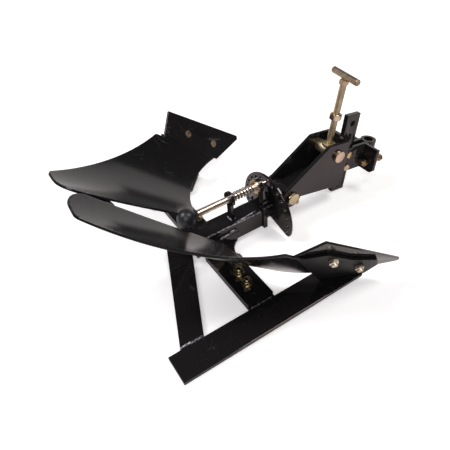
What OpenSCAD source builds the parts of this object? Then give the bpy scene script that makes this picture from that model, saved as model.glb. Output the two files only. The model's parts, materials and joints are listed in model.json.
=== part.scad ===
// Turn-over mouldboard plough for a two-wheel tractor, lying half turned, both bodies up.
// X runs forward along the beam, Y to the left and Z up; the origin is the centre of the hitch pin bush.

/* [Plough bodies] */
// Angle between the share's cutting edge and the direction of travel
share_angle = 42; // [36:1:46]
// Radius that the mouldboard sheet is rolled to, on its soil face
roll_radius = 214; // [205:1:230]
// Angle below the roll axis at which the mouldboard meets the share
seam_angle = 57.5; // [54:0.5:60]
// Distance of the seam between mouldboard and share from the middle plane
seam_side = 242.5; // [238:0.5:246]
// Distance of the share's middle bolt, on the seam, ahead of the leg's middle
seam_x = 95; // [90:1:100]
// Height of that point over the landside's underside
seam_z = 102.5; // [98:0.5:107]
// Thickness of the mouldboard and share plates
plate_t = 5; // [4:0.5:7]
// Length of the seam from the share's middle bolt to the wing corner
seam_wing = 102; // [90:1:110]
// Length of the seam from the share's middle bolt to the shin
seam_shin = 96; // [88:1:104]
// Length of the tail from the share's middle bolt, along the rulings
tail_reach = 376; // [350:1:400]
// Width of the share at its wing end, from seam to cutting edge
share_wing_w = 65; // [58:1:76]
// Width of the share at its nose
share_nose_w = 88; // [80:1:100]
// Length of the share from the middle bolt to the wing end
share_wing = 78; // [70:1:86]
// Length of the share from the middle bolt to the point of the nose
share_nose = 181; // [170:1:190]
// Thickness of the frog plate under the share
frog_t = 6; // [5:1:10]

/* [Landsides and legs] */
// Width of the landside bar
landside_w = 60; // [50:1:70]
// Distance of the landside's inner edge from the middle plane
landside_y = 199; // [190:1:206]
// Length of the landside behind the leg's middle
landside_rear = 207; // [195:1:230]
// Length of the landside ahead of the leg's middle, along its lower edge
landside_front = 226; // [220:1:234]
// How far the front cut slopes back across the landside
landside_cut = 97; // [85:1:110]
// Thickness of the landside, leg and brace bars
bar_t = 8; // [6:1:10]
// Width of the leg bar
leg_w = 60; // [52:1:66]
// Width of the brace bar
brace_w = 50; // [40:1:56]
// Middle of the brace behind the leg's middle, at the landside
brace_foot = 157; // [145:1:165]
// Distance of the brace's head behind the leg's middle, past the beam
brace_head = 58; // [50:1:64]
// Bolt diameter in the leg joints
leg_bolt_d = 12; // [8:1:14]

/* [Beam and turn-over lock] */
// Width across the flats of the square beam tube
tube_w = 46; // [40:1:50]
// Wall of the beam tube
tube_wall = 4; // [3:0.5:6]
// Rear end of the beam tube behind the leg's middle
tube_rear = 43; // [36:1:60]
// Front end of the beam tube ahead of the leg's middle
tube_front = 131; // [125:1:136]
// Thickness of the plate that closes the beam's front end
end_plate_t = 10; // [8:1:12]
// Diameter of the turn-over spindle
spindle_d = 28; // [24:1:32]
// Radius of the circle of index holes
index_r = 77; // [72:1:80]
// Width of the index plate outside the circle of holes
index_rim = 12; // [9:1:14]
// Thickness of the index plate
index_t = 6; // [5:0.5:8]
// Diameter of the index holes
index_hole_d = 9; // [7:0.5:10]
// Angle between index holes
index_step = 15; // [15:15:30]
// Diameter of the plunger rod
plunger_d = 15; // [12:1:18]
// Diameter of the plunger's nose
nose_d = 8; // [6:0.5:8.5]
// Diameter of the ball knob
knob_d = 42; // [36:1:46]
// Distance of the ball's middle behind the leg's middle
knob_x = 43; // [38:1:50]

/* [Hitch] */
// Distance of the pitch bolt ahead of the leg's middle
pivot_x = 204; // [200:1:208]
// Height of the pitch bolt over the landside's underside
pivot_z = 62; // [60:1:66]
// Angle at which the hitch hangs down from the beam's line
hitch_pitch = 8; // [6:0.5:9]
// Diameter of the pitch bolt
pivot_d = 20; // [16:1:22]
// Distance over the outside of the side plates
hitch_w = 71; // [68:1:80]
// Thickness of the side plates
side_t = 8; // [6:0.5:9]
// Length of the side plates ahead of the pitch bolt
side_l = 152; // [148:1:165]
// Height of the side plates' top edge over the pitch bolt
side_top = 105; // [98:1:112]
// Thickness of the plate across the side plates' front
front_t = 10; // [8:1:12]
// Width of the upright hitch bar, fore and aft
hitch_bar_w = 40; // [36:1:50]
// Thickness of the upright hitch bar
hitch_bar_t = 12; // [10:1:16]
// Height of the hitch bar's top over the pitch bolt
hitch_bar_top = 151; // [145:1:170]
// Depth of the hitch bar's foot under the pitch bolt
hitch_bar_foot = 54; // [48:1:58]
// Bore of the hitch pin bush
pin_d = 22; // [18:1:26]
// Outside diameter of the hitch pin bush
bush_d = 38; // [34:1:44]
// Diameter of the depth screw
screw_d = 15; // [14:1:20]
// Diameter of the cross bar that the depth screw turns in
trunnion_d = 28; // [26:1:32]
// Length of the depth screw's handle
handle_l = 88; // [80:1:100]

/* [Hidden] */
$fn = 64;

black = "#1d1b1b";
zinc = "#c9a763";
plastic = "#161616";
steel = "#a89f92";

// Clearances
running_gap = 0.1;
seat_gap = 0.3;
face_gap = 0.5;
moving_gap = 5.5;

// Beam
axis_z = bar_t + tube_w / 2;
plate_x = tube_front + end_plate_t;
collar_l = 17;
index_x = plate_x + collar_l + face_gap;
plunger_z = axis_z + index_r;
lug_t = 8;
lug_x = 58;
washer_t = 5;
washer_x = tube_front - washer_t - seat_gap;
eye_rim = 9;
rod_eye_d = plunger_d + 2 * seat_gap;
head_x = index_x + index_t;
housing_l = 58;
housing_d = spindle_d + 16;
nut_x = head_x + housing_l + face_gap;
nut_l = 16;

// Hitch, in its own frame with the pitch bolt at the origin
side_y = hitch_w / 2;
side_inner = side_y - side_t;
side_end_r = 26;
shoulder_back = 60;
side_shoulder = side_l - shoulder_back;
side_foot = [-5, -14];
front_lap = 2;
trunnion_back = 29;
trunnion_drop = 31;
trunnion_at = [side_l - trunnion_back, side_top - trunnion_drop];
bar_x = side_l + front_t;
bar_mid = bar_x + hitch_bar_w / 2;
coupler_t = 8;
coupler_low = 4;
coupler_high = 68;
coupler_rows = [18, 53];
coupler_bolt_d = 10;
ear_out = 72;
ear_x = bar_x + ear_out;
ear_w = 42;
bush_out = 100;
bush_x = bar_x + bush_out;
adjuster_d = 10;
adjuster_y = 30;
adjuster_z = 25;
bar_holes = [-38, 129];
bar_hole_d = 14;

// Where the hitch pin bush is in the beam's frame, and how the plough tips on to the hitch bar's foot
function hitch_point(x, z) = [pivot_x + x * cos(hitch_pitch) + z * sin(hitch_pitch),
                              pivot_z - x * sin(hitch_pitch) + z * cos(hitch_pitch)];
bush_mid = (coupler_low + coupler_high) / 2;
pin_at = hitch_point(bush_x, bush_mid);
foot_at = hitch_point(bar_x + hitch_bar_w, -hitch_bar_foot);
rest_pitch = atan2(-foot_at[1], foot_at[0] + landside_rear);

// Plough body, in the frame of its roll axis: X along the rulings to the wing, Y up in work, Z to the soil
seam_low = -roll_radius * sin(seam_angle);
seam_deep = -roll_radius * cos(seam_angle);
roll_side = seam_side + seam_low;
roll_x = seam_x - seam_deep * sin(share_angle);
roll_z = seam_z - seam_deep * cos(share_angle);
share_bolt_d = 12;

module place() rotate([0, -rest_pitch, 0]) translate([-pin_at[0], 0, -pin_at[1]]) children();
module hitch_frame() place() translate([pivot_x, 0, pivot_z]) rotate([0, hitch_pitch, 0]) children();
module side(right) mirror([0, right ? 1 : 0, 0]) children();

// Round bars along X and Y
module rod_x(d, x, l) translate([x, 0, 0]) rotate([0, 90, 0]) cylinder(d = d, h = l);
module rod_y(d, y, l) translate([0, y, 0]) rotate([-90, 0, 0]) cylinder(d = d, h = l);
module hex(flats, h) cylinder(d = flats / cos(30), h = h, $fn = 6);

// A plate cut from an outline in Y and Z, standing across X
module cross_plate(x, t) translate([x, 0, 0]) rotate([90, 0, 90]) linear_extrude(t) children();
// A plate cut from an outline in X and Z, standing along X, its right face at y
module long_plate(y, t) translate([0, y + t, 0]) rotate([90, 0, 0]) linear_extrude(t) children();

// Where a line from point p touches a circle of radius r round the origin, on its left
function touch(p, r) = let(a = atan2(p[1], p[0]) + acos(r / norm(p))) [r * cos(a), r * sin(a)];

module side_outline() {
    shoulder = [side_shoulder, side_top];
    circle(side_end_r);
    polygon([[0, 0], [side_end_r - face_gap, side_foot[0]], [side_l, side_foot[1]],
             [side_l, side_top], shoulder, touch(shoulder, side_end_r - seat_gap)]);
}

module side_plate(right) color(black) hitch_frame() side(right) long_plate(side_inner, side_t)
    difference() {
        side_outline();
        circle(d = pivot_d + 2 * running_gap);
        translate(trunnion_at) circle(d = trunnion_d + 2 * running_gap);
    }

module side_plate_left() side_plate(false);
module side_plate_right() side_plate(true);

module front_plate() color(black) hitch_frame() cross_plate(side_l, front_t)
    translate([-side_inner - front_lap, side_foot[1]])
        square([2 * (side_inner + front_lap), side_top - side_foot[1]]);

module hitch_bar() color(black) hitch_frame() long_plate(-hitch_bar_t / 2, hitch_bar_t)
    difference() {
        translate([bar_x, -hitch_bar_foot])
            square([hitch_bar_w, hitch_bar_top + hitch_bar_foot]);
        for (z = bar_holes) translate([bar_mid, z]) circle(d = bar_hole_d);
        for (z = coupler_rows) translate([bar_mid, z]) circle(d = coupler_bolt_d + 2 * running_gap);
    }

// Cheek along the hitch bar, an ear out to the side and a tongue up to the pin bush
module coupler(right) color(black) hitch_frame() side(right) difference() {
    union() {
        long_plate(hitch_bar_t / 2, coupler_t)
            translate([bar_x + seat_gap, coupler_low])
                square([bush_x - bar_x - seat_gap, coupler_high - coupler_low]);
        cross_plate(ear_x, coupler_t) translate([hitch_bar_t / 2, coupler_low]) polygon([
            [0, 0], [ear_w, 0], [ear_w + coupler_t, coupler_t],
            [ear_w + coupler_t, coupler_high - coupler_low], [0, coupler_high - coupler_low]]);
    }
    for (z = coupler_rows) translate([bar_mid, 0, z])
        rod_y(coupler_bolt_d + 2 * running_gap, 0, hitch_w);
    translate([0, adjuster_y, adjuster_z]) rod_x(adjuster_d + 2 * running_gap, bar_x, hitch_w * 2);
    translate([bush_x, 0, 0]) cylinder(d = bush_d, h = hitch_bar_top);
}

module coupler_left() coupler(false);
module coupler_right() coupler(true);

module pin_bush() color(black) hitch_frame() translate([bush_x, 0, coupler_low]) difference() {
    cylinder(d = bush_d, h = coupler_high - coupler_low);
    translate([0, 0, -1]) cylinder(d = pin_d, h = coupler_high - coupler_low + 2);
}

coupler_bolt_flats = 17;
coupler_head_h = 7;
module coupler_bolts() color(zinc) hitch_frame() for (z = coupler_rows) translate([bar_mid, 0, z]) {
    grip = hitch_bar_t / 2 + coupler_t;
    rod_y(coupler_bolt_d, -grip, 2 * grip + coupler_head_h);
    translate([0, -grip, 0]) rotate([90, 0, 0]) hex(coupler_bolt_flats, coupler_head_h);
    translate([0, grip, 0]) rotate([-90, 0, 0]) hex(coupler_bolt_flats, coupler_head_h);
}

adjuster_flats = 17;
adjuster_l = 58;
adjuster_nut_h = 8;
adjuster_tail = 6;
module adjuster_bolts() color(zinc) hitch_frame() for (s = [-1, 1])
    translate([ear_x, s * adjuster_y, adjuster_z]) {
        rod_x(adjuster_d, -adjuster_nut_h - adjuster_tail, adjuster_l);
        translate([coupler_t, 0, 0]) rotate([0, 90, 0]) hex(adjuster_flats, adjuster_nut_h);
        rotate([0, -90, 0]) hex(adjuster_flats, adjuster_nut_h);
        translate([adjuster_l - adjuster_nut_h - adjuster_tail, 0, 0]) rotate([0, 90, 0])
            hex(adjuster_flats, adjuster_nut_h);
    }

pivot_flats = 28;
pivot_head_h = 13;
module pitch_bolt() color(zinc) hitch_frame() {
    rod_y(pivot_d, -side_y, hitch_w + pivot_head_h + 3);
    translate([0, -side_y, 0]) rotate([90, 0, 0]) hex(pivot_flats, pivot_head_h);
    translate([0, side_y, 0]) rotate([-90, 0, 0]) hex(pivot_flats, pivot_head_h);
}

trunnion_out = 7;
boss_d = 32;
boss_h = 6;
module trunnion() color(zinc) screw_frame() difference() {
    union() {
        rod_y(trunnion_d, -side_y - trunnion_out, hitch_w + 2 * trunnion_out);
        translate([0, 0, trunnion_d / 2 - 3]) cylinder(d = boss_d, h = boss_h);
    }
    translate([0, 0, -trunnion_d]) cylinder(d = screw_d + 2 * running_gap, h = 2 * trunnion_d);
}

screw_low = -38;
screw_top = 172;
screw_lean = 2.7;
handle_d = 14;
handle_turn = 10;
screw_nut_flats = 24;
screw_nut_h = 14;
module screw_frame() hitch_frame() translate([trunnion_at[0], 0, trunnion_at[1]])
    rotate([0, screw_lean, 0]) children();
module depth_screw() color(zinc) screw_frame() {
    translate([0, 0, screw_low + screw_d / 2]) {
        sphere(d = screw_d);
        cylinder(d = screw_d, h = screw_top - screw_low - screw_d / 2);
    }
    translate([0, 0, screw_top]) rotate([0, 0, -handle_turn]) rod_y(handle_d, -handle_l / 2, handle_l);
    translate([0, 0, screw_top - handle_d / 2 - screw_nut_h + 2]) hex(screw_nut_flats, screw_nut_h);
}

lock_nut_z = 75;
module lock_nut() color(zinc) screw_frame() translate([0, 0, lock_nut_z]) difference() {
    hex(screw_nut_flats, screw_nut_h);
    translate([0, 0, -1]) cylinder(d = screw_d + 2 * running_gap, h = screw_nut_h + 2);
}

// Bearing for the spindle, with the arm that the depth screw bears on
arm_w = 2 * (side_inner - moving_gap);
arm_t = 14;
arm_eye_r = 17;
arm_past = 2;
screw_foot_gap = 1.8;
arm_end = hitch_point(trunnion_at[0], trunnion_at[1])
    + [arm_past, screw_low * cos(hitch_pitch + screw_lean) - screw_foot_gap - arm_t / 2];
arm_root_z = 60;
module head_arm() color(black) place() difference() {
    union() {
        translate([0, 0, axis_z]) rod_x(housing_d, head_x, housing_l);
        long_plate(-arm_w / 2, arm_w) polygon([
            [head_x, axis_z], [head_x + housing_l, axis_z], [head_x + housing_l, arm_root_z],
            [arm_end[0], arm_end[1] - arm_t / 2], [arm_end[0], arm_end[1] + arm_t / 2],
            [head_x + housing_l, arm_root_z + arm_t], [pivot_x, pivot_z + arm_eye_r],
            [head_x, pivot_z + arm_eye_r]]);
        translate([pivot_x, 0, pivot_z])
            rod_y(2 * arm_eye_r, -side_inner + seat_gap, 2 * (side_inner - seat_gap));
    }
    translate([0, 0, axis_z]) rod_x(spindle_d + 2 * running_gap, head_x - 1, housing_l + 2);
    translate([pivot_x, 0, pivot_z]) rod_y(pivot_d + 2 * running_gap, -hitch_w, 2 * hitch_w);
}

// Index plate: a sector a little over half round, with round-ended horns
index_from = -15;
index_count = round((180 - 2 * index_from) / index_step) + 1;
module index_outline() {
    horn = index_r * [cos(index_from), sin(index_from)];
    intersection() {
        circle(index_r + index_rim);
        polygon([[0, 0], 3 * horn, [3 * horn[0], 3 * index_r], [-3 * horn[0], 3 * index_r],
                 [-3 * horn[0], 3 * horn[1]]]);
    }
    for (s = [0, 1]) mirror([s, 0]) rotate(index_from) {
        translate([0, -index_rim]) square([index_r, 2 * index_rim]);
        translate([index_r, 0]) circle(index_rim);
    }
    circle(housing_d / 2);
}
module index_plate() color(black) place() translate([0, 0, axis_z]) cross_plate(index_x, index_t)
    difference() {
        index_outline();
        circle(d = spindle_d + 2 * running_gap);
        for (i = [0 : index_count - 1]) rotate(index_from + i * index_step)
            translate([index_r, 0]) circle(d = index_hole_d);
    }

module beam_tube() color(black) place() translate([-tube_rear, 0, axis_z]) difference() {
    length = tube_rear + tube_front;
    translate([0, -tube_w / 2, -tube_w / 2]) cube([length, tube_w, tube_w]);
    translate([-1, -tube_w / 2 + tube_wall, -tube_w / 2 + tube_wall])
        cube([length + 2, tube_w - 2 * tube_wall, tube_w - 2 * tube_wall]);
}

// Eye that guides the plunger rod, on a neck that stands on the beam
module eye_outline(neck_w, foot_z) {
    difference() {
        union() {
            circle(d = rod_eye_d + 2 * eye_rim);
            translate([-neck_w / 2, foot_z - plunger_z]) square([neck_w, plunger_z - foot_z]);
        }
        circle(d = rod_eye_d);
    }
}

end_plate_lip = 5;
module end_plate() color(black) place() translate([0, 0, plunger_z]) cross_plate(tube_front, end_plate_t) {
    eye_outline(rod_eye_d + eye_rim, axis_z + tube_w / 2);
    translate([-tube_w / 2 - end_plate_lip, -index_r - tube_w / 2 - end_plate_lip])
        square(tube_w + 2 * end_plate_lip);
}

module plunger_lug() color(black) place() translate([0, 0, plunger_z]) cross_plate(lug_x, lug_t)
    eye_outline(rod_eye_d, axis_z + tube_w / 2);

collar_d = 42;
module spindle() color(black) place() translate([0, 0, axis_z]) {
    rod_x(collar_d, plate_x, collar_l);
    rod_x(spindle_d, plate_x, nut_x + nut_l + 4 - plate_x);
}

spindle_nut_flats = 40;
module spindle_nut() color(zinc) place() translate([nut_x, 0, axis_z]) rotate([0, 90, 0]) difference() {
    hex(spindle_nut_flats, nut_l);
    translate([0, 0, -1]) cylinder(d = spindle_d + 2 * running_gap, h = nut_l + 2);
}

nose_l = 10;
module plunger_rod() color(zinc) place() translate([0, 0, plunger_z]) {
    rod_x(plunger_d, -knob_x, knob_x + index_x - face_gap - nose_l);
    rod_x(nose_d, index_x - face_gap - nose_l, nose_l);
}

washer_d = 32;
module plunger_washer() color(zinc) place() translate([0, 0, plunger_z]) difference() {
    rod_x(washer_d, washer_x, washer_t);
    rod_x(plunger_d + 2 * running_gap, washer_x - 1, washer_t + 2);
}

// Open coil spring, swept round the plunger rod
spring_wire = 2.5;
spring_turns = 6.5;
spring_steps = 22;
spring_sides = 8;
module plunger_spring() color(steel) place() translate([0, 0, plunger_z]) {
    coil_r = plunger_d / 2 + 1 + spring_wire / 2;
    from = lug_x + lug_t + seat_gap + spring_wire / 2;
    to = washer_x - seat_gap - spring_wire / 2;
    rings = round(spring_turns * spring_steps);
    points = [for (i = [0 : rings]) let(a = 360 * i / spring_steps, x = from + (to - from) * i / rings)
        for (j = [0 : spring_sides - 1]) let(b = 360 * j / spring_sides,
            r = coil_r + spring_wire / 2 * cos(b))
            [x + spring_wire / 2 * sin(b), r * cos(a), r * sin(a)]];
    skin = [for (i = [0 : rings - 1]) for (j = [0 : spring_sides - 1])
        let(k = (j + 1) % spring_sides, n = spring_sides)
            [i * n + j, i * n + k, (i + 1) * n + k, (i + 1) * n + j]];
    first = [for (j = [spring_sides - 1 : -1 : 0]) j];
    last = [for (j = [0 : spring_sides - 1]) rings * spring_sides + j];
    polyhedron(points, concat(skin, [first, last]), convexity = 8);
}

knob_neck_l = 6;
module ball_knob() color(plastic) place() translate([-knob_x, 0, plunger_z]) difference() {
    union() {
        sphere(d = knob_d);
        rod_x(knob_d / 2, 0, knob_d / 2 + knob_neck_l / 2);
    }
    rod_x(plunger_d + 2 * running_gap, 0, knob_d);
}

// Angle bracket welded to the beam's side, with the leg bolted under its foot
bracket_end = 4;
bracket_flange = 20;
bracket_nose = 32;
bolt_spots = [[20, 84], [2, 116], [0, 148]];
spare_spots = [[-3, 79], [0, 172]];
module bracket(right) color(black) place() side(right) difference() {
    union() {
        translate([-leg_w / 2, tube_w / 2, bar_t])
            cube([leg_w, landside_y - bracket_end - tube_w / 2, bar_t]);
        long_plate(tube_w / 2, bar_t) polygon([
            [-leg_w / 2, bar_t], [leg_w / 2, bar_t],
            [leg_w / 2 + bracket_nose, 2 * bar_t + bracket_flange / 2],
            [leg_w / 2 + bracket_nose, 2 * bar_t + bracket_flange],
            [-leg_w / 2, 2 * bar_t + bracket_flange]]);
    }
    for (p = concat(bolt_spots, spare_spots)) translate([p[0], p[1], 0])
        cylinder(d = leg_bolt_d + 2 * running_gap, h = 3 * bar_t);
}

module leg_bracket_left() bracket(false);
module leg_bracket_right() bracket(true);

leg_start = 32;
module leg(right) color(black) place() side(right) difference() {
    translate([-leg_w / 2, leg_start, 0]) cube([leg_w, landside_y - leg_start, bar_t]);
    for (p = concat(bolt_spots, spare_spots)) translate([p[0], p[1], -1])
        cylinder(d = leg_bolt_d + 2 * running_gap, h = 2 * bar_t);
}

module leg_left() leg(false);
module leg_right() leg(true);

leg_nut_flats = 19;
leg_nut_h = 10;
module leg_bolts(right) color(zinc) place() side(right) for (p = bolt_spots) translate([p[0], p[1], 0]) {
    cylinder(d = leg_bolt_d, h = 2 * bar_t + leg_nut_h + 3);
    translate([0, 0, 2 * bar_t]) hex(leg_nut_flats, leg_nut_h);
}

module leg_bolts_left() leg_bolts(false);
module leg_bolts_right() leg_bolts(true);

// Flat bar from the landside in across the underside of the beam's end
brace_head_w = 54;
brace_past = 45;
brace_slant = 15;
module brace_right() color(black) place() side(true) linear_extrude(bar_t) polygon([
    [-brace_foot - brace_w / 2, landside_y], [-brace_foot + brace_w / 2, landside_y],
    [-brace_head + brace_head_w / 2, brace_slant - brace_past],
    [-brace_head - brace_head_w / 2, -brace_past]]);

landside_r = 6;
module landside(rear, front, cut) linear_extrude(bar_t) {
    heel = [-rear, landside_y + landside_w];
    toe = [front - cut, landside_y];
    polygon(concat([[-rear, landside_y], toe],
                   rounded(toe, [front, landside_y + landside_w], heel, landside_r), [heel]));
}

// The right landside is whole, and the left one is a stub between leg and frog
stub_rear = 50;
stub_front = 126;
stub_cut = 58;
module landside_left() color(black) place() landside(stub_rear, stub_front, stub_cut);
module landside_right() color(black) place() side(true)
    landside(landside_rear, landside_front, landside_cut);

// Frame of a plough body: X along the share's edge to the wing, Y up in work, Z out of the soil face
module body_frame(right) place() side(right) translate([roll_x, roll_side, roll_z])
    rotate([180, 180 + share_angle, 0]) children();
// Frame on the share's soil face: X along the seam, Y from the seam to the cutting edge, Z into the back
module share_frame(right) body_frame(right) translate([0, seam_low, seam_deep])
    rotate([180 - seam_angle, 0, 0]) children();

// Corners of the mouldboard: distance along the rulings, distance from the middle plane
tail_low = [tail_reach, 74];
tail_top = [tail_reach, -3];
top_front = [24, 54];
tail_low_r = 14;
tail_top_r = 36;
shin_r = 210;
sheet_over = 60;
sheet_facets = 180;
function on_sheet(p) = [p[0], roll_side - p[1]];
module mouldboard_outline() {
    shin = [-seam_shin, seam_low];
    wing = [seam_wing, seam_low];
    low = on_sheet(tail_low);
    top = on_sheet(tail_top);
    front = on_sheet(top_front);
    below = [0, -2 * plate_t];
    ahead = [-sheet_over, 0];
    past_front = front + (front - top) * sheet_over / norm(front - top);
    difference() {
        polygon(concat([shin + ahead + below, wing + below, wing], rounded(wing, low, top, tail_low_r),
                       rounded(low, top, front, tail_top_r), [past_front]));
        shin_arc(shin, front, shin_r);
    }
}
// Circle of radius r through points a and b, on the left of the way from a to b
module shin_arc(a, b, r) {
    way = b - a;
    rise = sqrt(r * r - norm(way) * norm(way) / 4);
    translate((a + b) / 2 + rise * [-way[1], way[0]] / norm(way)) circle(r, $fn = sheet_facets);
}
module rolled_bar(r, over) translate([-seam_shin - over, 0, 0]) rotate([0, 90, 0])
    cylinder(r = r, h = tail_reach + seam_shin + 2 * over, $fn = sheet_facets);
module mouldboard(right) color(black) body_frame(right) intersection() {
    difference() {
        rolled_bar(roll_radius + plate_t, sheet_over);
        rolled_bar(roll_radius, sheet_over + 1);
        rotate([-seam_angle, 0, 0]) translate([-2 * roll_radius, -2 * roll_radius, -2 * roll_radius])
            cube([6 * roll_radius, 2 * roll_radius, 4 * roll_radius]);
    }
    translate([0, 0, -roll_radius * 1.2]) linear_extrude(roll_radius * 1.2) mouldboard_outline();
}

module mouldboard_left() mouldboard(false);
module mouldboard_right() mouldboard(true);

share_inner = 105;
share_nose_r = 7;
share_bolt_at = [[6, 32], [-84, 36]];

// Arc of radius r that rounds the corner p between points a and b
function rounded(a, p, b, r, n = 6) =
    let(u = (a - p) / norm(a - p), v = (b - p) / norm(b - p), half = acos(u * v) / 2,
        mid = p + r / sin(half) * (u + v) / norm(u + v), from = p + u * r / tan(half) - mid,
        turn = (u[0] * v[1] - u[1] * v[0] > 0 ? -1 : 1) * (180 - 2 * half))
    [for (i = [0 : n]) let(c = cos(turn * i / n), s = sin(turn * i / n))
        mid + [from[0] * c - from[1] * s, from[0] * s + from[1] * c]];

module share_bolt_holes() for (p = share_bolt_at) translate(p) circle(d = share_bolt_d + 2 * running_gap);

module share(right) color(black) share_frame(right) linear_extrude(plate_t) difference() {
    heel = [-share_inner, seat_gap];
    nose = [-share_nose, share_nose_w];
    wing = [share_wing, share_wing_w];
    polygon(concat([heel, [share_wing, seat_gap], wing], rounded(wing, nose, heel, share_nose_r)));
    share_bolt_holes();
}

module share_left() share(false);
module share_right() share(true);

// Plate under share and mouldboard; the right one stands on the landside, the left one on a web
frog_edge = [[78, 4], [38, 42], [-40, 48], [-95, 70], [-127, 56]];
frog_foot_right = [[-150, 14], [-88, -53]];
frog_foot_left = [[-112, 18], [-30, -44]];
module frog(right) color(black) {
    difference() {
        share_frame(right) translate([0, 0, plate_t]) linear_extrude(frog_t) difference() {
            polygon(concat(frog_edge, right ? frog_foot_right : frog_foot_left));
            share_bolt_holes();
        }
        place() side(right) translate([-landside_rear, 0, -landside_rear])
            cube([4 * landside_rear, 4 * landside_y, landside_rear + bar_t]);
    }
    if (!right) frog_web();
}

// Upright web from the left landside's stub to the back of its frog
web_y = 246;
web_side = [[34, bar_t], [96, bar_t], [140, 70], [34, 160]];
module frog_web() difference() {
    place() long_plate(web_y, bar_t) polygon(web_side);
    share_frame(false) translate([-2 * share_nose, -2 * share_nose, -2 * share_nose])
        cube([4 * share_nose, 4 * share_nose, 2 * share_nose + plate_t + frog_t / 2]);
}

module frog_left() frog(false);
module frog_right() frog(true);

share_nut_flats = 19;
share_nut_h = 10;
module share_bolts(right) color(zinc) share_frame(right) for (p = share_bolt_at)
    translate([p[0], p[1], 0]) {
        cylinder(d = share_bolt_d, h = plate_t + frog_t + share_nut_h + 4);
        translate([0, 0, plate_t + frog_t]) hex(share_nut_flats, share_nut_h);
    }

module share_bolts_left() share_bolts(false);
module share_bolts_right() share_bolts(true);

// Strap that ties the two tails together, each half lying against the back of its mouldboard
strap_back = 100;
strap_from = tail_reach - strap_back;
strap_w = 44;
strap_t = 5;
strap_lap = 10;
strap_side = 24;
strap_turn = asin((roll_side - strap_side) / (roll_radius + plate_t));
module tail_strap() color(black) for (right = [false, true]) intersection() {
    body_frame(right) rotate([strap_turn, 0, 0])
        translate([strap_from, -strap_lap, -roll_radius - plate_t - running_gap - strap_t])
            cube([strap_w, roll_side + strap_lap, strap_t]);
    place() side(right) translate([-2 * tail_reach, 0, -tail_reach])
        cube([3 * tail_reach, roll_radius, 3 * tail_reach]);
}

side_plate_left();
side_plate_right();
front_plate();
hitch_bar();
coupler_left();
coupler_right();
pin_bush();
coupler_bolts();
adjuster_bolts();
pitch_bolt();
trunnion();
depth_screw();
lock_nut();
head_arm();
index_plate();
beam_tube();
end_plate();
spindle();
spindle_nut();
plunger_lug();
plunger_rod();
plunger_washer();
plunger_spring();
ball_knob();
leg_bracket_left();
leg_bracket_right();
leg_left();
leg_right();
leg_bolts_left();
leg_bolts_right();
brace_right();
landside_left();
landside_right();
frog_left();
frog_right();
share_left();
share_right();
share_bolts_left();
share_bolts_right();
mouldboard_left();
mouldboard_right();
tail_strap();
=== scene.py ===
# %% [markdown]
# # A turn-over mouldboard plough
# This plough hangs behind a two-wheel tractor. Two mirrored bodies share one beam, and the beam turns half round at the
# end of each furrow so that the soil is always thrown the same way. Here it lies half turned on a white table, as it
# was photographed for sale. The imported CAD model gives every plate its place; this script gives each one its edges,
# its threads, its welds and its finish.

import json
import math

import bmesh
import bpy
from mathutils import Matrix, Vector, noise
from mathutils.geometry import delaunay_2d_cdt


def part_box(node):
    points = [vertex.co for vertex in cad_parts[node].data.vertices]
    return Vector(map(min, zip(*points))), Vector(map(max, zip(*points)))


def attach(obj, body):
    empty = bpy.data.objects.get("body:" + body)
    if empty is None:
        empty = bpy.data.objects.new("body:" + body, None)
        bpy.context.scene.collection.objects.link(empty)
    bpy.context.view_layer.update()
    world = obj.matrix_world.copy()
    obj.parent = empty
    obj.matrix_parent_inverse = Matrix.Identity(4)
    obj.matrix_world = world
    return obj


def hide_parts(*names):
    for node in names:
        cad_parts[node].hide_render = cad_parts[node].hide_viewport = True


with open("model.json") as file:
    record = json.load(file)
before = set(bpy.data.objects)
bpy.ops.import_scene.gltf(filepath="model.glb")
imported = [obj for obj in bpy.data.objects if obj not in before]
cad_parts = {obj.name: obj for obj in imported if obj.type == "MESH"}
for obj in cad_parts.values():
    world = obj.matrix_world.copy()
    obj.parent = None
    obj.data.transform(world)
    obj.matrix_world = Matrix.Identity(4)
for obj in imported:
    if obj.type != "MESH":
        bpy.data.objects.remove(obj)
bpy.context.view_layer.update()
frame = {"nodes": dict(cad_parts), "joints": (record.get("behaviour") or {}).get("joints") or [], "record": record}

# %% [markdown]
# ## Frames to measure in
# A welder sets everything out from the beam, so lengths here are in millimetres from the beam: X forward, Y to the
# left, Z up from the underside of the landside. The turn-over joint runs down the middle of the beam, which makes it a
# good ruler: its axis is the beam's X. The hitch hangs on the pitch bolt, tipped 8 degrees, and the depth screw leans
# a little more in its trunnion.

# %% Beam, hitch and screw frames
MM = 0.001
joints = {j["name"]: j for j in frame["joints"]}
body_of = {n: b for b, ns in frame["record"]["behaviour"]["bodies"].items() for n in ns}


def frame_at(origin, x_axis):
    y = Vector((0, 1, 0))
    z = x_axis.cross(y)
    turned = Matrix((x_axis, y, z)).transposed().to_4x4()
    return Matrix.Translation(origin) @ turned


def moved(x, y, z, lean=0):
    return Matrix.Translation(Vector((x, y, z)) * MM) @ Matrix.Rotation(math.radians(lean), 4, "Y")


JOINT_X, JOINT_Z = 181, 31
BOLT_X, BOLT_Z, HITCH_TIP = 204, 62, 8
SCREW_X, SCREW_Z, SCREW_LEAN = 123, 74, 2.7

axis_x = Vector(joints["turn_over"]["axis"]).normalized()
beam = frame_at(Vector(joints["turn_over"]["pos_m"]), axis_x) @ moved(-JOINT_X, 0, -JOINT_Z)
hitch = beam @ moved(BOLT_X, 0, BOLT_Z, HITCH_TIP)
screw = hitch @ moved(SCREW_X, 0, SCREW_Z, SCREW_LEAN)
print("pitch bolt found at", [round(v, 4) for v in hitch.translation], "joint at", joints["depth_pitch"]["pos_m"])

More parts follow.
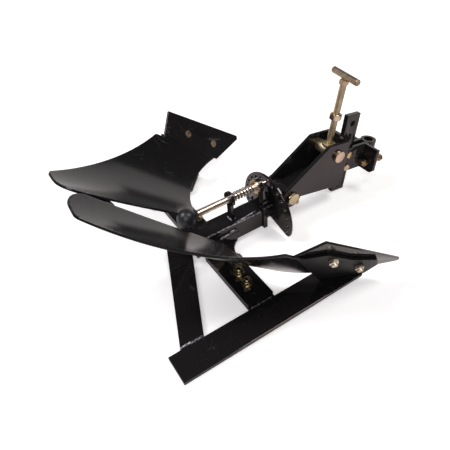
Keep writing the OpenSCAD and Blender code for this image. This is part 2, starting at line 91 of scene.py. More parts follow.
# %% [markdown]
# ## A short way to write shaders
# Every finish below is a sum of a few noises, and sums read best as sums. This class wraps one socket of a shader tree
# and lets Python's operators add the maths nodes. Anything else comes from one method, which sets a node up and then
# fills its sockets.


# %% Sockets that can be added and multiplied
class Socket:
    def __init__(self, tree, out=None):
        self.tree, self.out = tree, out

    def node(self, kind, settings=None, inputs=None, output=0):
        made = self.tree.nodes.new(kind)
        for key, value in (settings or {}).items():
            setattr(made, key, value)
        for key, value in (inputs or {}).items():
            if isinstance(value, Socket):
                self.tree.links.new(value.out, made.inputs[key])
            else:
                made.inputs[key].default_value = value
        return Socket(self.tree, made.outputs[output])

    def math(self, operation, a, b=0.0):
        return self.node("ShaderNodeMath", {"operation": operation}, {0: a, 1: b})

    def __add__(self, other):
        return self.math("ADD", self, other)

    def __sub__(self, other):
        return self.math("SUBTRACT", self, other)

    def __rsub__(self, other):
        return self.math("SUBTRACT", other, self)

    def __mul__(self, other):
        return self.math("MULTIPLY", self, other)

    def above(self, low, high):
        ramp = {"interpolation_type": "SMOOTHSTEP"}
        return self.node("ShaderNodeMapRange", ramp, {"Value": self, "From Min": low, "From Max": high})

    def mix(self, dark, light):
        return self.node("ShaderNodeMix", {"data_type": "RGBA"}, {0: self, 6: dark, 7: light}, 2)

    __radd__, __rmul__ = __add__, __mul__


def finish_named(name, **constants):
    made = bpy.data.materials.new(name)
    made.use_nodes = True
    shader = made.node_tree.nodes["Principled BSDF"]
    for key, value in constants.items():
        shader.inputs[key.replace("_", " ")].default_value = value
    sheet = Socket(made.node_tree)
    place = sheet.node("ShaderNodeTexCoord", output="Object")

    def noise_at(scale, detail=2.0, stretch=(1, 1, 1)):
        where = place.node("ShaderNodeMapping", None, {"Vector": place, "Scale": stretch})
        return place.node("ShaderNodeTexNoise", None, {"Vector": where, "Scale": scale, "Detail": detail})

    def feed(key, value):
        made.node_tree.links.new(value.out, shader.inputs[key])

    def bump(height, distance, strength=1.0):
        feed("Normal", height.node("ShaderNodeBump", None,
                                   {"Height": height, "Distance": distance, "Strength": strength}))

    return made, noise_at, feed, bump


# %% [markdown]
# ## Finishes
# The plates are sprayed with one coat of gloss black over cut and ground steel, so the paint shows a fine orange peel,
# specks of dust and a few hairline scratches from handling. A scratch wanders, and so does the line where a smooth
# noise passes one height, so a narrow band of heights draws it. The rolled sheet is a little duller than the bar. The
# frogs behind the shares get a darker, duller black that reflects far less: painted shade.

# %% Black paint
DUST = (0.20, 0.19, 0.19, 1)


def black_paint(name, black, roughness, tint, shine=0.5):
    made, noise_at, feed, bump = finish_named(name, Specular_IOR_Level=shine, Specular_Tint=tint)
    specks = noise_at(600, 1).above(0.70, 0.76) * noise_at(18).above(0.45, 0.70)
    scuffs = noise_at(60, 3, (1, 14, 1)).above(0.66, 0.80) * noise_at(9).above(0.5, 0.7)
    wander = noise_at(26, 1, (1, 2, 1)) - 0.5
    hairline = (1 - wander.math("ABSOLUTE", wander).above(0.004, 0.016)) * noise_at(17, 1).above(0.58, 0.66)
    marks = specks * 0.7 + scuffs * 0.1 + hairline * 0.14
    feed("Base Color", marks.mix((black, black * 0.93, black * 0.94, 1), DUST))
    feed("Roughness", noise_at(14, 3) * 0.08 + scuffs * 0.15 + (roughness - 0.04))
    bump(noise_at(420, 2), 0.00012, 0.12)
    return made


gloss = black_paint("gloss_black", 0.0105, 0.09, (1.0, 0.86, 0.84, 1))
sheet_black = black_paint("sheet_black", 0.0078, 0.19, (1.0, 0.95, 0.95, 1))
# Painted shade: the frogs' black is darker and reflects a fifth as much as the gloss, so the shares' undersides look
# shaded.
frog_black_painted_shade = black_paint("frog_black_painted_shade", 0.0090, 0.30, (1.0, 0.86, 0.84, 1), 0.10)
print("paints:", gloss.name, sheet_black.name, frog_black_painted_shade.name)

# %% [markdown]
# Bolts, screw and plunger are zinc plated and yellow passivated. The colour of the film follows its thickness, so it
# runs from brown over gold and straw to pink, and to a cool grey where it is thin. Each batch of bolts came from its
# own bath, so each gets its own pair of colours from one recipe. The pale straw pair is a painted highlight.


# %% Zinc plating
def plated(name, warm, pale, roughness, thin=0.5):
    made, noise_at, feed, bump = finish_named(name, Metallic=1.0)
    film = noise_at(45, 2).above(0.35, 0.68)
    patch = noise_at(16, 3).above(0.52, 0.74) * thin
    feed("Base Color", patch.mix(film.mix(warm, pale), (0.50, 0.52, 0.50, 1)))
    feed("Roughness", noise_at(90, 3) * 0.14 + (roughness - 0.02))
    bump(noise_at(500, 2), 0.00008, 0.2)
    return made


gold = plated("gold_zinc", (0.66, 0.47, 0.25, 1), (0.72, 0.58, 0.44, 1), 0.22)
screw_gold = plated("screw_zinc", (0.57, 0.43, 0.26, 1), (0.68, 0.54, 0.39, 1), 0.36, 0.2)
leg_zinc = plated("leg_zinc", (0.38, 0.31, 0.16, 1), (0.50, 0.43, 0.28, 1), 0.22, 0.3)
olive = plated("olive_zinc", (0.60, 0.48, 0.26, 1), (0.68, 0.55, 0.40, 1), 0.26, 0.3)
brown = plated("brown_zinc", (0.34, 0.24, 0.15, 1), (0.46, 0.36, 0.28, 1), 0.36, 0.3)
# Painted highlight: this near-white straw plating stands in for the highlights on the right share's bolts.
straw = plated("painted_highlight_straw_zinc", (0.88, 0.74, 0.54, 1), (0.95, 0.87, 0.76, 1), 0.30, 0.3)
blush = plated("blush_zinc", (0.86, 0.66, 0.48, 1), (0.95, 0.85, 0.76, 1), 0.27, 0.2)
print("platings:", ", ".join(m.name for m in bpy.data.materials if m.name.endswith("_zinc")))

# %% [markdown]
# The spring is bare wire, brown from its hardening, and the knob is moulded black plastic with a fine grain. The
# trunnion is one bar, rose on the ends that stick out and a paler, brighter gold in the middle between the side
# plates, which is a painted highlight, so its colour follows the distance from the middle.

# %% Spring steel, plastic and the trunnion's film with its painted highlight
steel, noise_at, feed, _ = finish_named("spring_steel", Metallic=1.0)
feed("Base Color", noise_at(120, 2).above(0.4, 0.65).mix((0.20, 0.15, 0.12, 1), (0.42, 0.36, 0.33, 1)))
feed("Roughness", noise_at(200, 2) * 0.2 + 0.26)

plastic, noise_at, feed, bump = finish_named("knob_plastic", Specular_IOR_Level=0.5)
feed("Base Color", noise_at(40, 3).above(0.5, 0.75).mix((0.011, 0.011, 0.012, 1), (0.020, 0.020, 0.021, 1)))
feed("Roughness", noise_at(70, 3) * 0.1 + 0.34)
bump(noise_at(800, 2), 0.0001, 0.15)

trunnion_zinc_painted_highlight, noise_at, feed, _ = finish_named("trunnion_zinc_painted_highlight", Metallic=1.0)
across = Socket(trunnion_zinc_painted_highlight.node_tree).node("ShaderNodeTexCoord", output="Object")
across = across.node("ShaderNodeSeparateXYZ", None, {0: across}, 1)
outside_painted_highlight = across.math("ABSOLUTE", across).above(0.0285, 0.0295)
film = noise_at(45, 2).above(0.35, 0.68)
# Painted highlight: the middle of the trunnion, between the side plates, is a paler and brighter gold than the rose
# ends.
feed("Base Color", outside_painted_highlight.mix(film.mix((0.74, 0.58, 0.32, 1), (0.86, 0.74, 0.56, 1)),
                           film.mix((0.66, 0.43, 0.29, 1), (0.72, 0.54, 0.42, 1))))
feed("Roughness", noise_at(90, 3) * 0.14 + (0.42 - outside_painted_highlight * 0.14))
print("finishes so far:", len(bpy.data.materials))

# %% [markdown]
# ## Sawn plates with broken edges
# Most of the plough is flat bar and plate, cut, drilled and then run over with a grinder, so no edge is dead sharp. A
# plate's shape is already right in the CAD model. Its copy gets the small bevel that catches the light along every
# edge, and smooth shading across the round faces.


# %% Copy a node and break its edges
SHARP = 32


def shade(mesh, angle=SHARP):
    mesh.shade_smooth()
    mesh.set_sharp_from_angle(angle=math.radians(angle))


def add_piece(name, mesh, finish, body, nodes):
    piece = bpy.data.objects.new(name, mesh)
    bpy.context.scene.collection.objects.link(piece)
    mesh.materials.clear()
    mesh.materials.append(finish)
    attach(piece, body)
    if nodes:
        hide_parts(*nodes)
    return piece


def broken_edges(bm, width):
    bmesh.ops.remove_doubles(bm, verts=bm.verts, dist=1e-6)
    bmesh.ops.dissolve_limit(bm, angle_limit=math.radians(0.5), verts=bm.verts, edges=bm.edges)
    sharp = [e for e in bm.edges if len(e.link_faces) == 2 and e.calc_face_angle() > math.radians(SHARP)]
    bmesh.ops.bevel(bm, geom=sharp, offset=width * MM, segments=2, profile=0.5, affect="EDGES", clamp_overlap=False)
    bmesh.ops.triangulate(bm, faces=[f for f in bm.faces if len(f.verts) > 4])


def plate(node, finish=gloss, width=0.7):
    bm = bmesh.new()
    bm.from_mesh(frame["nodes"][node].data)
    broken_edges(bm, width)
    mesh = bpy.data.meshes.new(node)
    bm.to_mesh(mesh)
    bm.free()
    shade(mesh, 18)
    add_piece("plate_" + node, mesh, finish, body_of[node], [node])


for node in ("side_plate_left", "side_plate_right", "front_plate", "hitch_bar", "coupler_left", "coupler_right",
             "pin_bush", "head_arm", "beam_tube", "end_plate", "spindle", "plunger_lug",
             "leg_bracket_left", "leg_bracket_right", "leg_left", "leg_right", "brace_right", "landside_left",
             "landside_right", "share_left", "share_right", "tail_strap"):
    plate(node)
plate("index_plate", width=1.3)
# The frogs get the darker, weakly reflecting black: painted shade.
plate("frog_left", frog_black_painted_shade)
plate("frog_right", frog_black_painted_shade)
plate("plunger_washer", gold, 0.5)
plate("trunnion", trunnion_zinc_painted_highlight, 0.8)

# %% [markdown]
# ## Turned and threaded pieces
# Bolts, nuts, rods and knob all come off a lathe, so each one is a row of rings skinned over. A nut is a ring whose
# radius is the smaller of two shapes: the hexagon of the bar it was cut from, and the cone of the chamfering tool. That
# one rule draws the curved line where the chamfer runs out on each flat. A thread is a rod whose radius rises and falls
# with height and with the turn.


# %% Rings, rods, nuts and threads
ALONG_X = Matrix.Rotation(math.pi / 2, 4, "Y")
AGAINST_X = Matrix.Rotation(-math.pi / 2, 4, "Y")
ALONG_Y = Matrix.Rotation(-math.pi / 2, 4, "X")
AGAINST_Y = Matrix.Rotation(math.pi / 2, 4, "X")
ROUND = 48


def ring(z, radius_at, count=ROUND):
    turns = [2 * math.pi * i / count for i in range(count)]
    return [Vector((radius_at(a) * math.cos(a), radius_at(a) * math.sin(a), z)) for a in turns]


def turned_rings(profile, count=ROUND):
    return [ring(z, lambda a, r=r: r, count) for r, z in profile]


def rod(d, z, length, chamfer=1.0):
    r, end = d / 2, z + length
    return turned_rings([(r - chamfer, z), (r, z + chamfer), (r, end - chamfer), (r - chamfer, end)])


def hexagon_at(flats, limit):
    def radius(a):
        off = (a + math.pi / 6) % (math.pi / 3) - math.pi / 6
        return min(flats / 2 / math.cos(off), limit)

    return radius


def nut(flats, z, height):
    deep = [0, 0.3, 0.7, 1.2, 1.8]
    heights = deep + [height - d for d in reversed(deep)]
    return [ring(z + h, hexagon_at(flats, 0.46 * flats + 1.73 * min(h, height - h)), 72) for h in heights]


def thread(d, z, length, pitch, depth):
    def radius(h):
        def at(a):
            tooth = abs(2 * ((h / pitch - a / (2 * math.pi)) % 1) - 1)
            return d / 2 - depth * min(max(2.2 * tooth - 0.6, 0), 1)

        return at

    steps = round(length / pitch * 8)
    return [ring(z + length * i / steps, radius(length * i / steps), 32) for i in range(steps + 1)]


def solid(name, finish, body, nodes, parts, angle=SHARP):
    bm = bmesh.new()
    for place, rings in parts:
        rows = [[bm.verts.new(place @ (point * MM)) for point in points] for points in rings]
        for low, high in zip(rows, rows[1:]):
            for i in range(len(low)):
                bm.faces.new((low[i - 1], low[i], high[i], high[i - 1]))
        bm.faces.new(rows[0])
        bm.faces.new(rows[-1])
    bmesh.ops.recalc_face_normals(bm, faces=bm.faces)
    mesh = bpy.data.meshes.new(name)
    bm.to_mesh(mesh)
    bm.free()
    shade(mesh, angle)
    return add_piece(name, mesh, finish, body, nodes)


# %% [markdown]
# ## Depth screw
# The ploughman turns this screw by its T-handle to set the working depth. It is a length of threaded bar with a rod
# welded across the top and a domed foot that bears on the arm of the head. The lock nut keeps it from turning back.

# %% Depth screw, handle and lock nut
SCREW_D, FOOT_Z = 15, -30.5
THREAD_L, PITCH, THREAD_DEEP = 190, 2.0, 0.25
HANDLE_L, HANDLE_Z, HANDLE_TURN = 88, 172, -10

dome = [(SCREW_D / 2 * math.sin(a), FOOT_Z - SCREW_D / 2 * math.cos(a)) for a in (0.05, 0.4, 0.8, 1.2, 1.57)]
turned_handle = Matrix.Rotation(math.radians(HANDLE_TURN), 4, "Z") @ moved(0, -HANDLE_L / 2, 0)
handle = screw @ moved(0, 0, HANDLE_Z) @ turned_handle @ ALONG_Y
solid("screw_bar", screw_gold, "screw", ["depth_screw"], [
    (screw, turned_rings(dome)), (screw, thread(SCREW_D, FOOT_Z, THREAD_L, PITCH, THREAD_DEEP)),
    (screw, nut(19, 154, 10))])
solid("screw_handle", brown, "screw", [], [
    (screw, rod(SCREW_D, 158, 10, 0.5)), (handle, rod(14, 0, HANDLE_L, 1.5))])
solid("screw_lock_nut", gold, body_of["lock_nut"], ["lock_nut"], [(screw, nut(24, 75, 14))])
print("screw turns of thread:", round(THREAD_L / PITCH))

# %% [markdown]
# ## Bolts and nuts
# Everything that carries a load is bolted, so that a worn share or a bent leg can be changed in the field. Heads and
# nuts come as hexagons of 17, 19, 28 and 40 mm, with washers under the leg nuts and flat countersunk heads in the
# shares, where soil slides past.

# %% Coupler, adjuster, pitch, spindle and leg bolts
parts = []
for z in (18, 53):
    spot = hitch @ moved(182, 0, z)
    parts += [(spot @ ALONG_Y, rod(10, -16, 39)), (spot @ ALONG_Y, nut(17, 14, 7)), (spot @ AGAINST_Y, nut(17, 14, 7))]
solid("bolts_coupler", gold, body_of["coupler_bolts"], ["coupler_bolts"], parts)

parts = []
for y in (-30, 30):
    spot = hitch @ moved(234, y, 25) @ ALONG_X
    parts += [(spot, rod(10, -14, 58)), (spot, nut(17, -8, 8)), (spot, nut(17, 8, 8)), (spot, nut(17, 44, 8))]
solid("bolts_adjuster", gold, body_of["adjuster_bolts"], ["adjuster_bolts"], parts)

solid("bolt_pitch", olive, body_of["pitch_bolt"], ["pitch_bolt"], [
    (hitch @ ALONG_Y, rod(20, -42, 93, 1.5)), (hitch @ ALONG_Y, nut(28, 35.5, 13)),
    (hitch @ AGAINST_Y, nut(28, 35.5, 8))])
solid("nut_spindle", gold, body_of["spindle_nut"], ["spindle_nut"], [
    (beam @ moved(223, 0, 31) @ ALONG_X, nut(40, 0, 16))])

leg_spots = [(20, 84), (2, 116), (0, 148)]
for side, sign in (("left", 1), ("right", -1)):
    parts = []
    for x, y in leg_spots:
        spot = beam @ moved(x, sign * y, 0)
        parts += [(spot, rod(12, 0, 30, 1.4)), (spot, rod(23, 16, 2, 0.3)), (spot, nut(19, 17.5, 9.5))]
    solid("bolts_leg_" + side, leg_zinc, "turnover", ["leg_bolts_" + side], parts)

# %% [markdown]
# ## Gussets
# Where each leg bracket meets the beam, a scrap of plate is welded into the front corner to stiffen it. It fills the
# bracket's upright flange down to the foot and runs a little way out along the foot's front edge.

# %% A gusset in the front corner of each bracket
flange = [(29, 8.2), (54, 8.2), (60, 26), (60, 35.8), (29, 35.8)]
foot = [(29, 30), (54, 30), (37, 45), (29.5, 62)]
for side, sign in (("left", 1), ("right", -1)):
    upright = [[Vector((x, sign * y, z)) for x, z in flange] for y in (23.2, 30.8)]
    level = [[Vector((x, sign * y, z)) for x, y in foot] for z in (8.2, 15.8)]
    solid("gusset_" + side, gloss, "turnover", [], [(beam, upright), (beam, level)])
print("gusset of", len(flange), "corners on the flange and", len(foot), "on the foot")

# %% [markdown]
# ## Frames of the two bodies
# Each mouldboard is a sheet rolled on a cylinder whose rulings run parallel to the share's edge, 42 degrees across the
# way of travel. The right body is the left one mirrored across the beam, so one set of numbers places both.

# %% Roll axis and share plane
ROLL, SEAM = 214.0, math.radians(57.5)
cross = math.radians(42)
roll_axis = Vector((95 + ROLL * math.cos(SEAM) * math.sin(cross), 242.5 - ROLL * math.sin(SEAM),
                    102.5 + ROLL * math.cos(SEAM) * math.cos(cross)))


def body_frame(side):
    wing = Vector((-math.cos(cross), 0, math.sin(cross)))
    out = Vector((math.sin(cross), 0, math.cos(cross)))
    axes = Matrix((wing, (0, -1, 0), out)).transposed().to_4x4()
    flip = Matrix.Scale(-1 if side == "right" else 1, 4, (0, 1, 0))
    return beam @ flip @ Matrix.Translation(roll_axis * MM) @ axes


def share_frame(side):
    seam = Matrix.Translation(Vector((0, -math.sin(SEAM), -math.cos(SEAM))) * ROLL * MM)
    return body_frame(side) @ seam @ Matrix.Rotation(math.pi - SEAM, 4, "X")


share_spots = [(6, 32), (-84, 36)]
head = [(0.5, 1.6), (3.6, 1.4), (4.2, -0.5), (5.0, -0.9), (8.6, -0.6), (9.2, 0.2)]
shank = [(6.0, 4.0), (6.0, 22), (4.6, 23.4)]
for side in ("left", "right"):
    parts = []
    for x, y in share_spots:
        spot = share_frame(side) @ moved(x, y, 0)
        parts += [(spot, turned_rings(head + shank)), (spot, nut(17, 11, 8))]
    # The right share's bolts get the pale straw plating as a painted highlight, and the same bolts on the left get the
    # darker brown.
    film = {"left": brown, "right": straw}[side]
    solid("bolts_share_" + side, film, "turnover", ["share_bolts_" + side], parts)
print("roll axis in mm from the beam:", [round(v, 1) for v in roll_axis])

# %% [markdown]
# ## Rolled mouldboards
# The mouldboard lifts the slice of soil that the share has cut and turns it over. It is cut from flat sheet to an
# outline, then rolled. So the outline is drawn on the sheet, filled with a fine triangle net, and every point is then
# wound on to the roll: the height on the sheet becomes an angle. A second copy 5 mm deeper and a rim close the plate.


# %% Outline, net and roll
def rounded(a, p, b, r, steps=10):
    u, v = (a - p).normalized(), (b - p).normalized()
    half = u.angle(v) / 2
    middle = p + (u + v).normalized() * r / math.sin(half)
    start = p + u * r / math.tan(half) - middle
    stop = p + v * r / math.tan(half) - middle
    turn = start.angle_signed(stop)
    return [middle + Matrix.Rotation(-turn * i / steps, 2) @ start for i in range(steps + 1)]


def filled_in(points, step, after):
    made = []
    for a, b in zip(points, points[1:] + after):
        count = max(1, math.ceil((b - a).length / step))
        made += [a.lerp(b, i / count) for i in range(count)]
    return made


def sheet_outline():
    shin = Vector((-96, -ROLL * math.sin(SEAM)))
    wing = Vector((102, shin.y))
    low, top, front = (Vector((x, roll_axis.y - y)) for x, y in ((376, 74), (376, -3), (24, 54)))
    way = front - shin
    rise = math.sqrt(210**2 - way.length_squared / 4)
    centre = (shin + front) / 2 + Vector((-way.y, way.x)).normalized() * rise
    first, last = front - centre, shin - centre
    turn = first.angle_signed(last)
    arc = [centre + Matrix.Rotation(-turn * i / 40, 2) @ first for i in range(41)]
    return filled_in([*arc, wing, *rounded(wing, low, top, 14), *rounded(low, top, front, 36)], 5.0, arc[:1])


def rolled(name, side, node, thick=5.0, grid=7.0):
    outline = [Vector((p.x, ROLL * math.asin(p.y / ROLL))) for p in sheet_outline()]
    xs, ys = [p.x for p in outline], [p.y for p in outline]
    inner = [Vector((x * grid, y * grid)) for x in range(int(min(xs) / grid), int(max(xs) / grid) + 1)
             for y in range(int(min(ys) / grid), int(max(ys) / grid) + 1)]
    edges = [(i, (i + 1) % len(outline)) for i in range(len(outline))]
    clear = [p for p in inner if min((p - q).length for q in outline) > 2.5]
    points, _, faces, _, _, _ = delaunay_2d_cdt(outline + clear, edges, [], 1, 1e-5)
    place = body_frame(side)
    bm = bmesh.new()

    def layer(radius):
        wound = [(p.x, radius * math.sin(p.y / ROLL), -radius * math.cos(p.y / ROLL)) for p in points]
        return [bm.verts.new(place @ (Vector(point) * MM)) for point in wound]

    soil, back = layer(ROLL), layer(ROLL + thick)
    for face in faces:
        bm.faces.new([soil[i] for i in face])
        bm.faces.new([back[i] for i in reversed(face)])
    bmesh.ops.delete(bm, geom=[v for v in bm.verts if not v.link_faces], context="VERTS")
    for edge in [e for e in bm.edges if e.is_boundary and e.verts[0] in set(soil)]:
        a, b = (soil.index(v) for v in edge.verts)
        bm.faces.new((soil[a], soil[b], back[b], back[a]))
    bmesh.ops.recalc_face_normals(bm, faces=bm.faces)
    rim = [e for e in bm.edges if e.calc_face_angle(0) > math.radians(40)]
    bmesh.ops.bevel(bm, geom=rim, offset=1.0 * MM, segments=3, profile=0.5, affect="EDGES", clamp_overlap=False)
    mesh = bpy.data.meshes.new(name)
    bm.to_mesh(mesh)
    bm.free()
    shade(mesh, 20)
    return add_piece(name, mesh, sheet_black, "turnover", [node])


for side in ("left", "right"):
    board = rolled("board_" + side, side, "mouldboard_" + side)
    print(board.name, len(board.data.polygons), "faces")

# %% [markdown]
# ## Plunger
# To turn the plough over, the ploughman pulls the ball back, which draws the plunger out of the index plate against
# its spring. The rod is ground bar, plated. The spring is wound from thin wire and left open.

# %% Plunger rod, knob and spring
guide = beam @ moved(0, 0, 108) @ ALONG_X
solid("plunger_bar", blush, body_of["plunger_rod"], ["plunger_rod"], [
    (guide, turned_rings([(6.5, -43), (7.5, -42), (7.5, 146.5), (4.0, 149), (4.0, 157), (3.2, 158)]))])
BALL_R, BALL_Z = 21, -43
ball = [(BALL_R * math.sin(a), BALL_Z - BALL_R * math.cos(a)) for a in (0.04 + 0.105 * i for i in range(25))]
solid("plunger_ball", plastic, body_of["ball_knob"], ["ball_knob"], [
    (guide, turned_rings(ball + [(10.5, -24), (10.5, -19.8), (9.8, -19), (7.6, -19)], 64))], 50)

coils, wire, reach = 7.5, 1.15, 9.3
SPRING_Z, SPRING_L, COIL_STEPS = 67.6, 56.4, 40
wound = []
for i in range(int(coils * COIL_STEPS) + 1):
    a = 2 * math.pi * i / COIL_STEPS
    middle = Vector((reach * math.cos(a), reach * math.sin(a), SPRING_Z + SPRING_L * i / (coils * COIL_STEPS)))
    out = Vector((math.cos(a), math.sin(a), 0))
    wound.append([middle + wire * (out * math.cos(b) + Vector((0, 0, math.sin(b))))
                  for b in (2 * math.pi * k / 10 for k in range(10))])
solid("plunger_coil", steel, body_of["plunger_spring"], ["plunger_spring"], [(guide, wound)], 60)
print("spring of", coils, "coils,", round(coils * 2 * math.pi * reach), "mm of wire")

# %% [markdown]
# ## Welds
# Legs, landside, brackets and lugs are arc welded by hand before painting. A bead is a row of overlapping drops, so it
# is drawn as a tube whose thickness ripples at the pace of the drops and wanders a little, pressed into the corner it
# fills. The long seam on the beam's edge shows that the beam was made from two angle bars; towards its front the welder
# laid a second run beside the first. Patches of light metallic grey on the black beads are painted highlight.


# %% Beads along the joints
def bead(path, radius, seed):
    path = [Vector(p) for p in path]
    path = filled_in(path, 0.8, []) + path[-1:]
    rings = []
    for i, at in enumerate(path):
        way = (path[min(i + 1, len(path) - 1)] - path[max(i - 1, 0)]).normalized()
        out = way.cross(Vector((0.1, 0.2, 1))).normalized()
        drift = Vector([noise.noise(Vector((i * 0.13, seed, k * 7.1))) for k in range(3)]) * radius * 0.3
        ripple = 0.84 + 0.26 * abs(math.sin(i * 0.7 + noise.noise(Vector((i * 0.07, seed, 3)))))
        taper = min(1, 0.45 + 0.2 * min(i, len(path) - 1 - i))
        r = radius * ripple * taper * (1 + 0.4 * noise.noise(Vector((i * 0.19, seed, 9))))
        rings.append([at + drift + r * (out * math.cos(b) + way.cross(out) * math.sin(b))
                      for b in (2 * math.pi * k / 10 for k in range(10))])
    return rings


weld, noise_at, feed, bump = finish_named("weld_paint_painted_highlight", Metallic=0.8)
# Painted highlight: noise scatters light metallic grey patches over the black bead paint.
painted_highlight_patches = noise_at(260, 3).above(0.40, 0.62)
feed("Base Color", painted_highlight_patches.mix((0.06, 0.055, 0.065, 1), (0.46, 0.44, 0.49, 1)))
feed("Roughness", noise_at(140, 3) * 0.25 + 0.22)
bump(noise_at(700, 2), 0.0004, 0.4)

turnover_welds = [([(-41, -22.6, 53.6), (62, -22.6, 53.6)], 1.9), ([(60, -22.8, 53.2), (126, -22.8, 53.2)], 1.8),
                  ([(60, -21, 54), (90, -18, 54.2), (119, -15, 54)], 2.3), ([(132, -20, 54), (136, -15, 54.5)], 2.2),
                  ([(14, -27, 36.3), (27, -26, 35.7), (38, -26, 37.2), (56, -27, 36.4)], 2.6),
                  ([(42, -25, 39), (50, -24.5, 40.5), (57, -25, 37), (60, -28, 34)], 1.7),
                  ([(57, -9, 54), (57, 9, 54)], 2.0), ([(67, -9, 54), (67, 9, 54)], 2.0),
                  ([(-181, -197, 8.2), (-168, -196, 8.6), (-150, -198, 8.4), (-133, -198, 8.2)], 2.9),
                  ([(-28, -198.4, 8), (26, -198.4, 8)], 1.8), ([(-26, 23.5, 36), (58, 23.5, 36)], 2.2),
                  ([(-28, 198.4, 8), (26, 198.4, 8)], 1.8)]
hitch_welds = [([(151, y, -12), (151, y, 103)], 2.0) for y in (-27, 27)]
hitch_welds += [([(162.5, y, -10), (162.5, y, 102)], 2.0) for y in (-7, 7)]
hitch_welds += [([(246, y, 6), (246, y, 66)], 2.2) for y in (-14, 14)]
for body, place, lines in (("turnover", beam, turnover_welds), ("hitch", hitch, hitch_welds)):
    solid("weld_" + body, weld, body, [], [
        (place, bead(path, r, i * 3.7)) for i, (path, r) in enumerate(lines)], 60)
print("beads:", len(turnover_welds) + len(hitch_welds))

# %% [markdown]
# ## Split pin
# A bent wire through the pitch bolt keeps its nut from working loose. Only its eye shows below the bolt.

# %% Eye of the split pin
EYE_X, EYE_Z, PIN_WIRE = 16, -15, 1.4
eye_rings = []
for i in range(29):
    a = 2 * math.pi * i / 32 + 0.6
    at = Vector((EYE_X + 4.5 * math.cos(a), 0, EYE_Z + 5.5 * math.sin(a)))
    out = Vector((math.cos(a), 0, math.sin(a)))
    eye_rings.append([at + PIN_WIRE * (out * math.cos(b) + Vector((0, math.sin(b), 0)))
                      for b in (2 * math.pi * k / 8 for k in range(8))])
eye_of_pin = solid("split_pin", gold, body_of["pitch_bolt"], [], [
    (hitch @ moved(0, -38, 0), eye_rings)], 60)
print(eye_of_pin.name, len(eye_of_pin.data.polygons), "faces")

# %% [markdown]
# ## Table, light and camera
# The plough stands on a white table in a dark room. A table lit from below as well as from above stays white under the
# plough, but the paint would mirror that white too. So there are two tables in one place. The camera sees the glowing
# one. The gloss sees a plain one, which is dark under the plough as a real table is, and which ends on the right where
# the room is dark.

# %% Two tables
floor_z = min(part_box(n)[0].z for n in frame["nodes"])
bpy.ops.mesh.primitive_plane_add(size=60, location=(-0.4, 0, floor_z))
table = bpy.context.object
table.name = "table"
white = finish_named("table_white", Base_Color=(0.88, 0.86, 0.86, 1), Roughness=0.9, Emission_Strength=0.45,
                     Emission_Color=(1.0, 0.98, 0.97, 1), Specular_IOR_Level=0.0)[0]
table.data.materials.append(white)

ABOVE_TABLE = 0.0001
mesh = bpy.data.meshes.new("table_in_gloss")
corners = [(-7, -7), (0.6, -7), (0.6, 0.35), (-7, 0.35), (7, 0.35), (7, 7), (-7, 7)]
mesh.from_pydata([(x, y, floor_z + ABOVE_TABLE) for x, y in corners], [], [(0, 1, 2, 3), (3, 4, 5, 6)])
gloss_table = bpy.data.objects.new("table_in_gloss", mesh)
bpy.context.scene.collection.objects.link(gloss_table)
plain = finish_named("table_plain", Base_Color=(0.95, 0.88, 0.86, 1), Roughness=0.9, Specular_IOR_Level=0.0)[0]
mesh.materials.append(plain)
gloss_table.visible_camera = gloss_table.visible_diffuse = gloss_table.visible_shadow = False
table.visible_glossy = False
print("table at", round(floor_z, 4), "m")

# %% [markdown]
# Black gloss shows what it mirrors. A white sweep stands behind the plough on the left. The mouldboards lean towards
# it, so its edge draws a bright field across each of them, while the level plates look over it into the dark. It is
# an arc of 3.2 m about the camera, from 27.5 degrees off the model's X onward, and 1.08 m tall. The sweep glows, as one
# lit from behind does, and the camera doesn't see it.

# %% Sweep
eye_at = Vector((-0.7924, -0.6371, 0.6210))
sweep_side = [(3.0, 0), (3.12, 0.03), (3.19, 0.12), (3.2, 0.3), (3.2, 1.08)]
SWEEP_FROM, SWEEP_STEP = 27.5, 3
turns = [math.radians(SWEEP_FROM + SWEEP_STEP * i) for i in range(27)]
points = [(eye_at.x + r * math.cos(a), eye_at.y + r * math.sin(a), floor_z + h) for a in turns for r, h in sweep_side]
n = len(sweep_side)
corners = [i * n + j for i in range(len(turns) - 1) for j in range(n - 1)]
quads = [(k, k + 1, k + n + 1, k + n) for k in corners]
mesh = bpy.data.meshes.new("sweep")
mesh.from_pydata(points, [], quads)
shade(mesh, 60)
sweep = bpy.data.objects.new("sweep", mesh)
bpy.context.scene.collection.objects.link(sweep)
glow = finish_named("sweep_white", Base_Color=(0.05, 0.05, 0.05, 1), Roughness=0.9, Emission_Strength=0.75,
                    Emission_Color=(1.0, 0.97, 0.95, 1), Specular_IOR_Level=0.0)[0]
mesh.materials.append(glow)
sweep.visible_camera = sweep.visible_shadow = False
print("sweep of", len(quads), "faces")

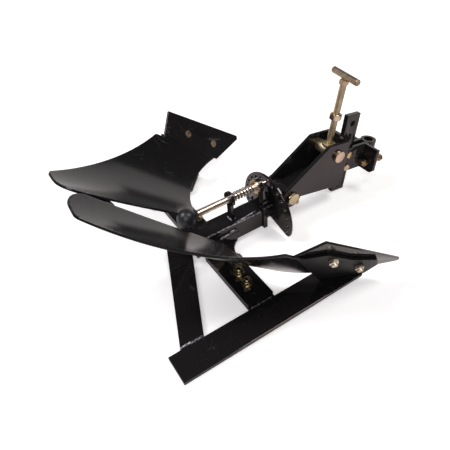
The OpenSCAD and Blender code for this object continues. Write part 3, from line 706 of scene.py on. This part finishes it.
# %% [markdown]
# Three large soft lamps stand far off, so that the table is lit evenly. The key stands to the left and lights the
# plated pieces, the top lamp draws the bright lines along rods and edges, and the fill stands behind the camera. None
# stands where a level plate would mirror it, so those plates stay black and show the plough's own underside.


# %% Lamps and camera
LAMP_AWAY = 4
LAMPS_AIM = Vector((-0.42, 0, 0))


def lamp(name, toward, size, power, colour):
    data = bpy.data.lights.new(name, "AREA")
    data.shape, data.size, data.energy, data.color = "DISK", size, power, colour
    made = bpy.data.objects.new(name, data)
    made.location = LAMPS_AIM + Vector(toward).normalized() * LAMP_AWAY
    made.rotation_euler = Vector(toward).to_track_quat("Z", "Y").to_euler()
    bpy.context.scene.collection.objects.link(made)


lamp("key", (-0.46, 0.36, 0.81), 1.6, 92, (0.97, 0.98, 1.0))
lamp("top", (0.375, -0.25, 0.9), 1.5, 60, (1.0, 1.0, 1.0))
lamp("fill", (-0.45, -0.6, 0.75), 1.8, 42, (0.97, 0.97, 1.0))

world = bpy.data.worlds.new("dark room")
bpy.context.scene.world = world
world.use_nodes = True
world.node_tree.nodes["Background"].inputs["Color"].default_value = (0.075, 0.073, 0.075, 1)
world.node_tree.nodes["Background"].inputs["Strength"].default_value = 1.0

eye = bpy.data.objects.new("camera", bpy.data.cameras.new("camera"))
bpy.context.scene.collection.objects.link(eye)
ahead = Vector((0.37474, 0.64672, -0.66432))
right = Vector((0.84208, -0.53721, -0.04796))
right = (right - right.dot(ahead) / ahead.dot(ahead) * ahead).normalized()
turned = Matrix((right, right.cross(ahead.normalized()), -ahead.normalized())).transposed().to_4x4()
eye.matrix_world = Matrix.Translation(eye_at) @ turned
eye.data.sensor_width, eye.data.lens = 36, 35.51
eye.data.clip_start, eye.data.clip_end = 0.01, 50
bpy.context.scene.camera = eye
bpy.context.scene.view_settings.view_transform = "Standard"
print("camera at", [round(v, 3) for v in eye_at], "with a lens of", eye.data.lens, "mm")

# %% [markdown]
# ## Finish
# The finished pieces must fill the same space as the parts they stand for. The last cell brings the view layer up to
# date.

# %% Update the view layer
bpy.context.view_layer.update()
